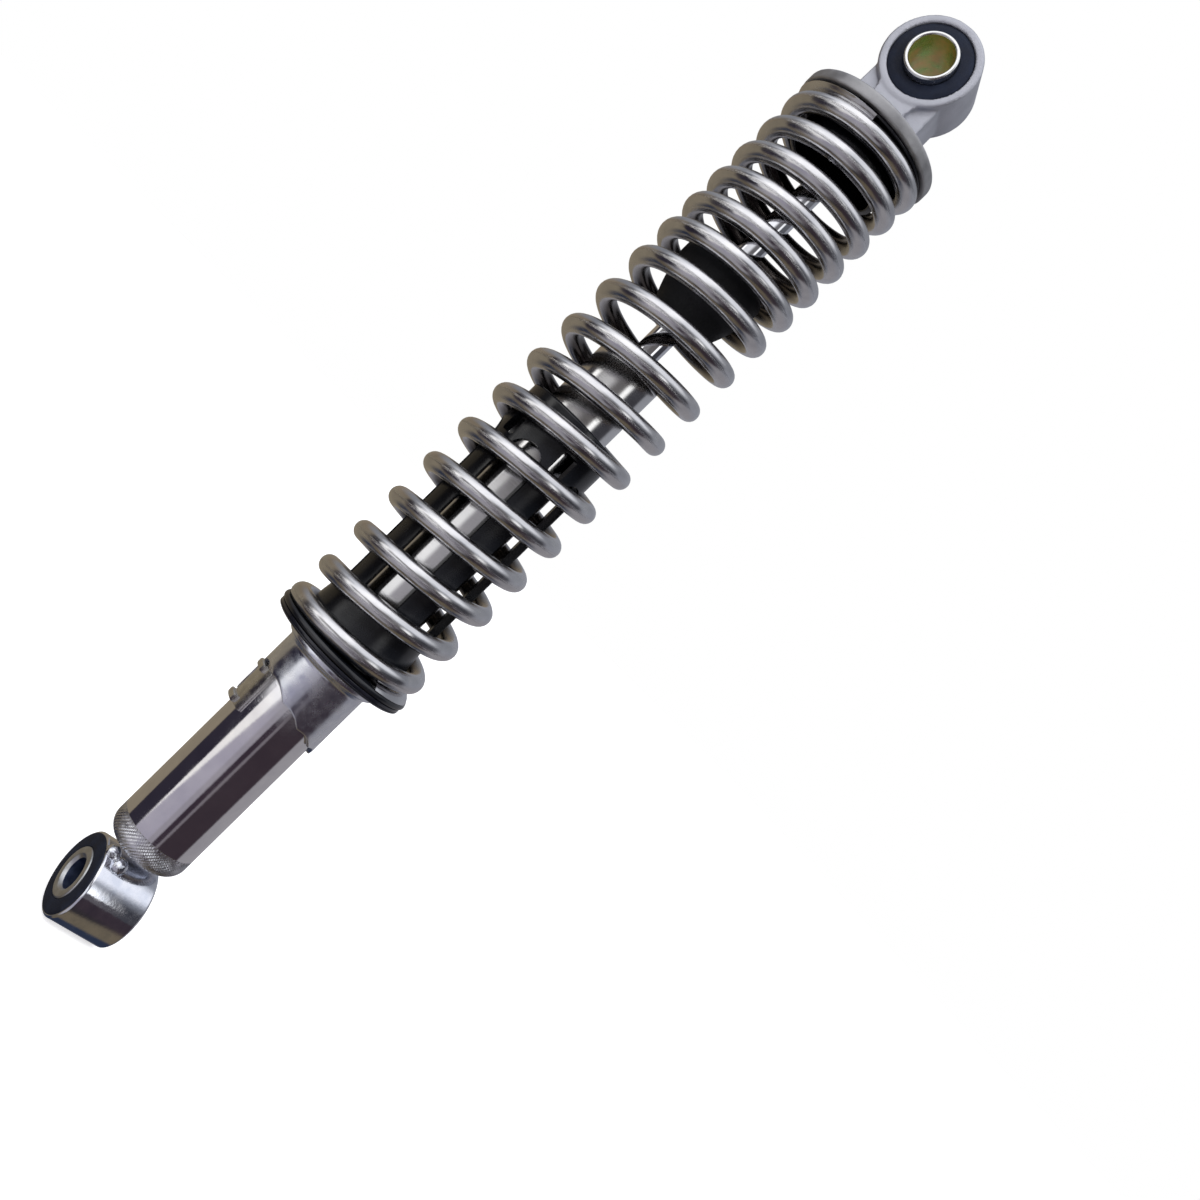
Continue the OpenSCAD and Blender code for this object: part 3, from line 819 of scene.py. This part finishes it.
def lower_eye_weld():
    """The weld between base and eye: a waisted neck with a bead of lumps round the ring."""
    low, high, _, outer = extents("lower_eye_weld")
    neck = lathe("lower_weld_detail", [
        (0, low - 2), (outer + 0.6, low - 2), (outer + 0.4, low + 1.8), (outer - 0.6, low + 3.6),
        (outer - 1.2, low + 5), (outer - 0.9, high - 0.9), (outer - 0.4, high + 0.3), (0, high + 0.3),
    ])
    random.seed(7)
    lumps, lump_count = [], 11
    for k in range(lump_count):
        angle = math.tau * k / lump_count + random.uniform(-0.15, 0.15)
        reach = outer + 0.3 + random.uniform(-0.3, 0.5)
        x, y = reach * math.cos(angle), reach * math.sin(angle)
        # The ring curves down on the sides away from its bore
        z = math.sqrt(ring_outer ** 2 - x ** 2) + random.uniform(-0.6, 0.5)
        lumps.append(moved(ball("lump", random.uniform(2.1, 2.9)), (x, y, z)))
    combine(neck, lumps, "UNION")
    # The ring's own place is left free but for a thin overlap
    hollow = along_bore(cylinder("hollow", ring_outer - 0.5, -CUT, CUT), lower_centre, lower_axis)
    dimple_r, dimple_height = 1.5, low + 4.9
    dimple_angle = math.radians(FRONT + 8)
    dimple_place = (outer * math.cos(dimple_angle), outer * math.sin(dimple_angle), dimple_height)
    combine(neck, [hollow, moved(ball("dimple", dimple_r), dimple_place)], "DIFFERENCE")
    cast(neck, voxel=0.3, passes=6)
    for vertex in neck.data.vertices:
        wander = noise.noise(vertex.co / MM * 0.9) * 0.22 + noise.noise(vertex.co / MM * 2.1) * 0.08
        vertex.co += vertex.normal * wander * MM
    dress(neck, weld_metal, "lower_eye_weld")


def lower_eye_ring():
    """The ring of the lower eye, with bright chamfers at its ends."""
    chamfer, inner_chamfer = 0.55, 0.3
    outline = rounded([
        (ring_inner, ring_low + inner_chamfer), (ring_inner + inner_chamfer, ring_low),
        (ring_outer - chamfer, ring_low), (ring_outer, ring_low + chamfer),
        (ring_outer, ring_high - chamfer), (ring_outer - chamfer, ring_high),
        (ring_inner + inner_chamfer, ring_high), (ring_inner, ring_high - inner_chamfer),
    ], 0.2, 3)
    ring = along_bore(lathe("lower_ring_detail", outline, 192), lower_centre, lower_axis)
    dress(ring, eye_metal, "lower_eye_ring")


# --- The whole shock ------------------------------------------------------------------------------

upper_eye()
bush(
    "upper_bush_detail", "upper_bush_rubber", upper_centre, upper_axis,
    eye_half=UPPER_RING_HALF - 0.9, lip_r=bush_r)
sleeve(
    "upper_sleeve_detail", "upper_bush_sleeve", upper_centre, upper_axis,
    chamfer=0.35, metal=bright_steel, bore_metal=zinc)
upper_guide()
coil_part("spring_lower_turns", 0, SPLIT_TURN, most_close=8)
coil_part("spring_upper_turns", SPLIT_TURN, TURNS, most_close=5.1)
bump_stop()
spring_guide()
spring_seat()
adjuster_collar()
stop_lugs()
piston_rod()
damper_tube()
gland_cap()
chrome_cover()
base_cap()
lower_eye_weld()
lower_eye_ring()
bush(
    "lower_bush_detail", "lower_bush_rubber", lower_centre, lower_axis,
    eye_half=ring_high, lip_r=ring_outer - 0.7)
sleeve(
    "lower_sleeve_detail", "lower_bush_sleeve", lower_centre, lower_axis,
    chamfer=1.0, metal=sleeve_metal, bore_metal=shaded_bore_metal)

kept_nodes = {
    "lock_nut": plain_steel, "rebound_stop": sintered, "valve_shims": plain_steel, "piston": sintered,
    "piston_ring": ring_plastic, "piston_nut": plain_steel, "oil_seal": matte_black, "rod_guide": sintered,
    "guide_o_ring": matte_black, "inner_cylinder": plain_steel, "base_valve": sintered,
}
for node, material in kept_nodes.items():
    mesh = frame["nodes"][node].data
    mesh.materials.clear()
    mesh.materials.append(material)


# --- Floor, lights and camera ---------------------------------------------------------------------

def floor():
    """A wide white floor. It isn't mirrored in the chrome, which shows the studio's panels instead."""
    width, gap, glow = 12000, 0.1, 0.62
    bpy.ops.mesh.primitive_plane_add(size=width * MM, location=(0, 0, cad_box[0][2] - gap * MM))
    plane = bpy.context.object
    plane.name = "floor"
    material = bpy.data.materials.new("floor_white")
    material.use_nodes = True
    shader = material.node_tree.nodes["Principled BSDF"]
    shader.inputs["Base Color"].default_value = (0.9, 0.9, 0.9, 1)
    shader.inputs["Roughness"].default_value = 0.9
    shader.inputs["Emission Color"].default_value = (1, 1, 1, 1)
    shader.inputs["Emission Strength"].default_value = glow
    plane.data.materials.append(material)
    plane.visible_glossy = False
    plane.visible_diffuse = False


class Nodes:
    """Short calls for building a node tree out of numbers."""

    def __init__(self, tree):
        self.tree = tree

    def new(self, kind, *inputs, **settings):
        """A node whose inputs, in their order, take links or plain values."""
        node = self.tree.nodes.new(kind)
        for name, value in settings.items():
            setattr(node, name, value)
        for socket, value in zip(node.inputs, inputs):
            if isinstance(value, bpy.types.NodeSocket):
                self.tree.links.new(value, socket)
            elif value is not None:
                socket.default_value = value
        return node

    def math(self, operation, *inputs):
        """The result of a maths node."""
        return self.new("ShaderNodeMath", *inputs, operation=operation).outputs[0]

    def ramp(self, value, low, high):
        """A smooth rise from 0 to 1 as value goes from low to high."""
        return self.new("ShaderNodeMapRange", value, low, high, interpolation_type="SMOOTHSTEP").outputs[0]

    def turn_ramp(self, angle, low, high):
        """A ramp over an angle, with its ends in degrees."""
        return self.ramp(angle, math.radians(low), math.radians(high))

    def overlap(self, *masks):
        """The product of some masks."""
        product = masks[0]
        for mask in masks[1:]:
            product = self.math("MULTIPLY", product, mask)
        return product

    def colours(self, value, stops):
        """A colour ramp with a stop for each pair of a place and a colour."""
        node = self.new("ShaderNodeValToRGB", value)
        elements = node.color_ramp.elements
        while len(elements) < len(stops):
            elements.new(0.5)
        for element, (place, colour) in zip(elements, stops):
            element.position = place
            element.color = (*colour, 1)
        return node.outputs["Color"]

    def mix(self, factor, a, b):
        """Colour a where factor is 0, turning to b where it is 1."""
        node = self.new("ShaderNodeMix", data_type="RGBA")
        for name, value in (("Factor", factor), ("A", a), ("B", b)):
            if isinstance(value, bpy.types.NodeSocket):
                self.tree.links.new(value, node.inputs[name])
            else:
                node.inputs[name].default_value = value
        return node.outputs["Result"]


# Light and dark panels round the object, as (from, to, colour), in degrees to the right of the front: below
# the camera, level with it and above it. The bright strip at the left of the low ones is a wedge of its own.
LOW_PANELS = [
    (-180, -101, (0.27, 0.23, 0.17)), (-98, -57, (0.030, 0.026, 0.040)), (-54, -10, (0.42, 0.40, 0.47)),
    (-4, 6, (0.34, 0.32, 0.36)), (9, 19, (0.045, 0.032, 0.045)), (22, 26, (0.20, 0.18, 0.20)),
    (29, 92, (0.045, 0.033, 0.042)), (98, 180, (0.33, 0.32, 0.34)),
]
LEVEL_PANELS = [
    (-180, -101, (0.27, 0.23, 0.17)), (-98, -76, (0.05, 0.045, 0.05)), (-66, -30, (1.15, 1.15, 1.17)),
    (-18, 14, (0.40, 0.39, 0.42)), (24, 50, (0.12, 0.11, 0.12)), (54, 98, (0.06, 0.06, 0.07)),
    (106, 180, (0.33, 0.33, 0.36)),
]
HIGH_PANELS = [
    (-180, -104, (0.27, 0.22, 0.16)), (-98, -80, (0.05, 0.045, 0.05)), (-75, -65, (1.6, 1.58, 1.55)),
    (-58, -20, (0.21, 0.20, 0.20)), (-10, 30, (0.14, 0.13, 0.13)), (36, 46, (1.6, 1.6, 1.6)),
    (54, 100, (0.05, 0.05, 0.06)), (108, 180, (0.33, 0.34, 0.38)),
]


WEDGE = (0.98, 0.96, 0.94, 1)
OVERHEAD = (0.29, 0.30, 0.33, 1)
FRONT_BAND = (1.05, 1.07, 1.13, 1)
SOFT_BOX = (1.5, 1.5, 1.54, 1)
GROUND_FRONT = (0.035, 0.030, 0.033, 1)
GROUND_BELOW = (0.16, 0.13, 0.09, 1)
GROUND_BEHIND = (0.030, 0.040, 0.070, 1)
GROUND_PATCH = (0.42, 0.41, 0.44, 1)
WHITE = (1, 1, 1, 1)


def panel_stops(panels):
    """The colour stops that hold each panel's colour from its one side to the other."""
    return [(angle / 360 + 0.5, colour) for start, end, colour in panels for angle in (start, end)]


def studio():
    """White all round for the camera; panels, a bright ceiling and a dim ground for what it lights."""
    world = bpy.data.worlds.new("studio")
    scene.world = world
    world.use_nodes = True
    world.node_tree.nodes.clear()
    nodes = Nodes(world.node_tree)
    direction = nodes.new("ShaderNodeTexCoord").outputs["Generated"]
    turned = nodes.new("ShaderNodeVectorRotate", direction, rotation_type="Z_AXIS")
    turned.inputs["Angle"].default_value = -math.radians(FRONT)
    x, y, z = nodes.new("ShaderNodeSeparateXYZ", turned.outputs[0]).outputs
    height = nodes.math("ARCSINE", z)
    around = nodes.math("ARCTAN2", y, x)
    place = nodes.math("MULTIPLY_ADD", around, 1 / math.tau, 0.5)
    low, level, high = (
        nodes.colours(place, panel_stops(panels)) for panels in (LOW_PANELS, LEVEL_PANELS, HIGH_PANELS))

    # The wedge among the low panels is wide at the top and narrows downwards
    wedge_right = nodes.math("MULTIPLY_ADD", height, 1.6, math.radians(-12))
    past_wedge = nodes.math("SUBTRACT", around, wedge_right)
    wedge = nodes.overlap(nodes.turn_ramp(around, -57, -54), nodes.turn_ramp(past_wedge, 2, -2))
    low = nodes.mix(wedge, low, WEDGE)
    panels = nodes.mix(nodes.turn_ramp(height, -10, -7.5), low, level)
    panels = nodes.mix(nodes.turn_ramp(height, 3, 6), panels, high)

    # Overhead it is a bluish grey, with a white band across the front below the zenith and a soft box at the
    # left of the front
    ceiling = nodes.mix(nodes.turn_ramp(height, 12, 34), panels, OVERHEAD)
    band = nodes.overlap(nodes.turn_ramp(height, 26, 46), nodes.ramp(x, -0.35, 0.05))
    ceiling = nodes.mix(band, ceiling, FRONT_BAND)
    box = nodes.overlap(
        nodes.turn_ramp(around, -85, -55), nodes.turn_ramp(around, 8, -20), nodes.turn_ramp(height, 10, 24))
    ceiling = nodes.mix(box, ceiling, SOFT_BOX)

    # The ground is nearly black in front, brown underneath and dark blue behind, with a pale patch before the
    # camera
    ground = nodes.mix(nodes.ramp(x, -0.30, -0.12), GROUND_BEHIND, GROUND_BELOW)
    ground = nodes.mix(nodes.ramp(x, 0.25, 0.42), ground, GROUND_FRONT)
    patch = nodes.overlap(
        nodes.turn_ramp(around, -90, -60), nodes.turn_ramp(around, 38, 18), nodes.turn_ramp(height, -66, -54))
    ground = nodes.mix(patch, ground, GROUND_PATCH)

    everything = nodes.mix(nodes.turn_ramp(height, -28, -46), ceiling, ground)
    light = nodes.new("ShaderNodeBackground", everything, 1.0)
    backdrop = nodes.new("ShaderNodeBackground", WHITE, 1.0)
    camera_ray = nodes.new("ShaderNodeLightPath").outputs["Is Camera Ray"]
    chosen = nodes.new("ShaderNodeMixShader", camera_ray, light.outputs[0], backdrop.outputs[0])
    nodes.new("ShaderNodeOutputWorld", chosen.outputs[0])


def polar(angle, distance, height):
    """A point in metres, from a polar angle, a distance from the axis and a height in millimetres."""
    turn = math.radians(angle)
    return Vector((distance * math.cos(turn), distance * math.sin(turn), height)) * MM


def soft_light(name, angle, distance, height, size, power):
    """A large area lamp aimed at the middle of the shock, which doesn't show as a spot in the chrome."""
    lamp = bpy.data.lights.new(name, "AREA")
    lamp.size = size * MM
    lamp.energy = power
    obj = bpy.data.objects.new(name, lamp)
    obj.location = polar(angle, distance, height)
    obj.visible_glossy = False
    aim = Vector((0, 0, upper_centre.z / 2 * MM)) - obj.location
    obj.rotation_euler = aim.to_track_quat("-Z", "Y").to_euler()
    scene.collection.objects.link(obj)


def camera():
    """The photograph's view: level with the middle, close up, rolled so the shock runs up to the right."""
    distance, height, aside = 369, 167, 17.3
    roll = math.radians(44.46)
    data = bpy.data.cameras.new("camera")
    data.lens = 36.63
    data.sensor_width = 36
    data.shift_x = 0.0538
    data.shift_y = -0.0476
    obj = bpy.data.objects.new("camera", data)
    facing = FRONT - math.degrees(math.atan2(aside, distance))
    back = polar(facing, 1, 0).normalized()
    right = polar(facing + 90, 1, 0).normalized()
    across = UP * math.cos(roll) + right * math.sin(roll)
    upright = UP * math.sin(roll) - right * math.cos(roll)
    place = (back * distance + right * aside + UP * height) * MM
    axes = Matrix((across, upright, back)).transposed()
    obj.matrix_world = Matrix.Translation(place) @ axes.to_4x4()
    scene.collection.objects.link(obj)
    scene.camera = obj


floor()
studio()
soft_light("key_light", FRONT + 25, distance=600, height=600, size=260, power=3.2)
camera()
